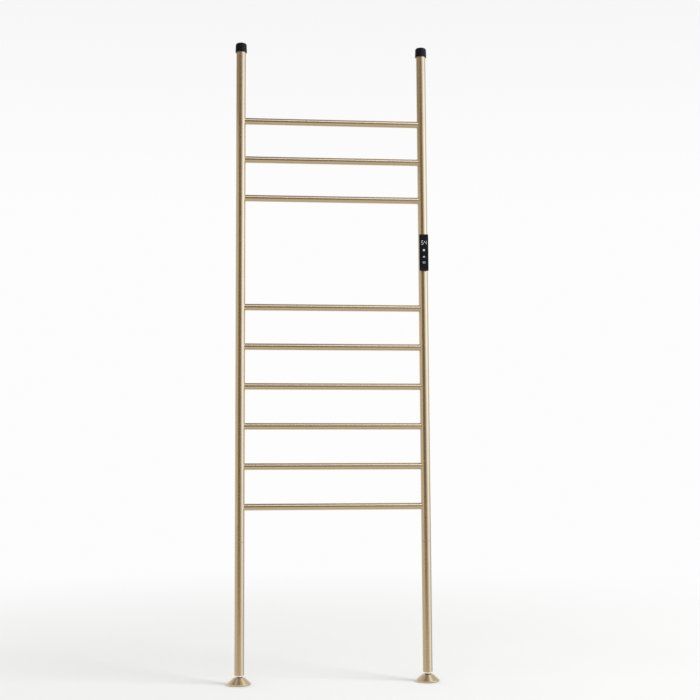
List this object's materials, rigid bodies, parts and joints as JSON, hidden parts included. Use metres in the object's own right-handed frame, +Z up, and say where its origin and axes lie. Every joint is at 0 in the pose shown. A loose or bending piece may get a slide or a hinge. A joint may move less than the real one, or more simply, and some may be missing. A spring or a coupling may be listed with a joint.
{
  "type": "leaning heated towel ladder",
  "caption": "Leaning tubular towel ladder with welded rungs in two groups, a slim control panel on one upright, rubber top caps and swivel levelling feet.",
  "frame": {"origin": "on the floor, below the middle of the box round the leaning ladder", "axes": "+X along the rungs to the side of the control panel, -Y the front, +Y the wall side that the ladder leans to, +Z up"},
  "size_m": [0.535, 0.1356, 1.6448],
  "materials": {
    "champagne_gold_steel": "champagne-gold coated stainless tube, brushed round",
    "plain_steel": "turned, zinc plated",
    "black_rubber": "moulded, satin",
    "white_nylon": "moulded",
    "black_plastic": "moulded, fine satin",
    "black_lens": "polished, printed from behind",
    "green_board": "solder mask",
    "black_display": "moulded digit block",
    "grey_foam": "conductive foam",
    "relay_plastic": "moulded",
    "terminal_plastic": "moulded",
    "red_silicone": "extruded silicone sheath",
    "black_cable": "extruded sheath"
  },
  "bodies": {
    "frame": {"left_upright": "champagne_gold_steel", "right_upright": "champagne_gold_steel", "left_leg": "champagne_gold_steel", "right_leg": "champagne_gold_steel", "rung_1": "champagne_gold_steel", "rung_2": "champagne_gold_steel", "rung_3": "champagne_gold_steel", "rung_4": "champagne_gold_steel", "rung_5": "champagne_gold_steel", "rung_6": "champagne_gold_steel", "rung_7": "champagne_gold_steel", "rung_8": "champagne_gold_steel", "rung_9": "champagne_gold_steel", "left_leg_joiner": "plain_steel", "left_leg_bush": "plain_steel", "left_top_cap": "black_rubber", "right_leg_joiner": "plain_steel", "right_leg_bush": "plain_steel", "right_top_cap": "black_rubber", "control_housing": "black_plastic", "control_lens": "black_lens", "control_gasket": "black_rubber", "control_board": "green_board", "digit_display": "black_display", "touch_pads": "grey_foam", "power_relay": "relay_plastic", "upper_terminal": "terminal_plastic", "lower_terminal": "terminal_plastic", "upper_heating_cable": "red_silicone", "lower_heating_cable": "red_silicone", "cable_end_seals": "black_rubber", "supply_lead": "black_cable", "cable_gland": "black_rubber"},
    "left_stud": {"left_foot_stud": "plain_steel"},
    "left_swivel": {"left_ball_cup": "white_nylon"},
    "left_foot": {"left_foot_cone": "champagne_gold_steel", "left_foot_plug": "plain_steel", "left_foot_pad": "black_rubber"},
    "right_stud": {"right_foot_stud": "plain_steel"},
    "right_swivel": {"right_ball_cup": "white_nylon"},
    "right_foot": {"right_foot_cone": "champagne_gold_steel", "right_foot_plug": "plain_steel", "right_foot_pad": "black_rubber"}
  },
  "joints": [
    {"name": "left_foot_height", "type": "slide", "parent": "frame", "child": "left_stud", "axis": [0, 0.0558, 0.9984], "range_m": [-0.01, 0.0015]},
    {"name": "left_foot_side_tilt", "type": "hinge", "parent": "left_stud", "child": "left_swivel", "pos_m": [-0.2375, -0.03775, 0.0108], "axis": [0, 1, 0], "range_deg": [-10, 10]},
    {"name": "left_foot_fore_tilt", "type": "hinge", "parent": "left_swivel", "child": "left_foot", "pos_m": [-0.2375, -0.03775, 0.0108], "axis": [1, 0, 0], "range_deg": [-13.2, 6.8]},
    {"name": "right_foot_height", "type": "slide", "parent": "frame", "child": "right_stud", "axis": [0, 0.0558, 0.9984], "range_m": [-0.01, 0.0015]},
    {"name": "right_foot_side_tilt", "type": "hinge", "parent": "right_stud", "child": "right_swivel", "pos_m": [0.2375, -0.03775, 0.0108], "axis": [0, 1, 0], "range_deg": [-10, 10]},
    {"name": "right_foot_fore_tilt", "type": "hinge", "parent": "right_swivel", "child": "right_foot", "pos_m": [0.2375, -0.03775, 0.0108], "axis": [1, 0, 0], "range_deg": [-13.2, 6.8]}
  ]
}
